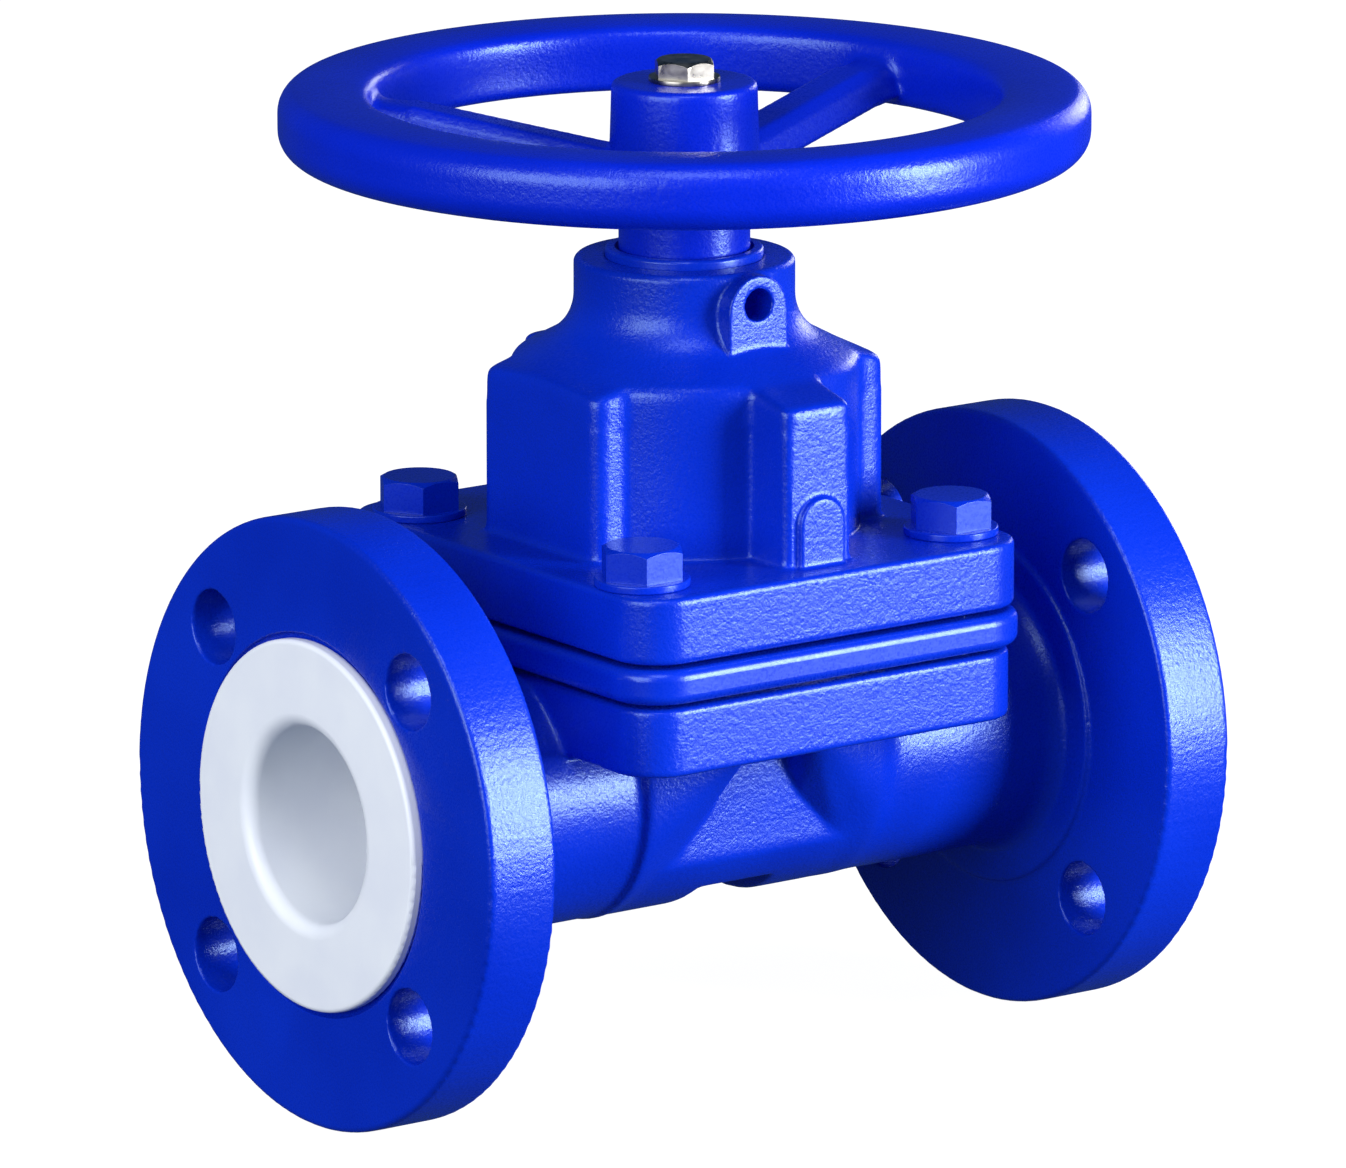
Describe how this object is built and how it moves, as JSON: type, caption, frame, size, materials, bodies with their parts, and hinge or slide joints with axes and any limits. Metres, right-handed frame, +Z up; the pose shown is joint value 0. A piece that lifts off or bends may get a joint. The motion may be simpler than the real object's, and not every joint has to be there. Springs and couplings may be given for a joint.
{
  "type": "diaphragm valve",
  "caption": "Flanged weir type diaphragm valve with a PTFE lining, a bolted bonnet and a handwheel that lifts the stem.",
  "frame": {"origin": "centre of the inlet flange's metal face, on the pipe axis", "axes": "+X along the flow, from inlet to outlet; +Z up the stem"},
  "size_m": [0.234, 0.204, 0.2583],
  "materials": {
    "casting_paint": "satin enamel over a cast surface",
    "hardware_paint": "satin enamel",
    "wheel_paint": "satin enamel",
    "painted_rubber": "enamel sprayed over the rubber's edge",
    "ptfe": "smooth white PTFE",
    "steel": "machined",
    "stainless": "machined stainless",
    "bronze": "machined bronze",
    "seal_rubber": "moulded"
  },
  "bodies": {
    "valve": {"body": "casting_paint", "body_liner": "ptfe", "diaphragm_face": "ptfe", "diaphragm_cushion": "painted_rubber", "bonnet": "casting_paint", "bonnet_bolts": "hardware_paint", "bonnet_washers": "hardware_paint", "stem_o_ring": "seal_rubber", "lower_thrust_washer": "bronze", "upper_thrust_washer": "bronze", "bush_o_ring": "seal_rubber", "gland_ring": "hardware_paint"},
    "wheel": {"stem_bush": "steel", "handwheel": "wheel_paint", "wheel_key": "steel", "wheel_washer": "stainless", "wheel_bolt": "stainless"},
    "spindle": {"stem": "steel", "compressor": "steel", "compressor_pin": "steel", "vacuum_plate": "steel", "diaphragm_stud": "steel"}
  },
  "joints": [
    {"name": "wheel_turn", "type": "hinge", "parent": "valve", "child": "wheel", "pos_m": [0.115, 0, 0.1645], "axis": [0, 0, 1], "range_deg": [-1980, 0]},
    {"name": "stem_lift", "type": "slide", "parent": "valve", "child": "spindle", "axis": [0, 0, 1], "range_m": [-0.022, 0], "deforming": ["diaphragm_face", "diaphragm_cushion"]}
  ],
  "couplings": [
    {"joint": "stem_lift", "follows": "wheel_turn", "m_per_rad": 0.0006366}
  ]
}
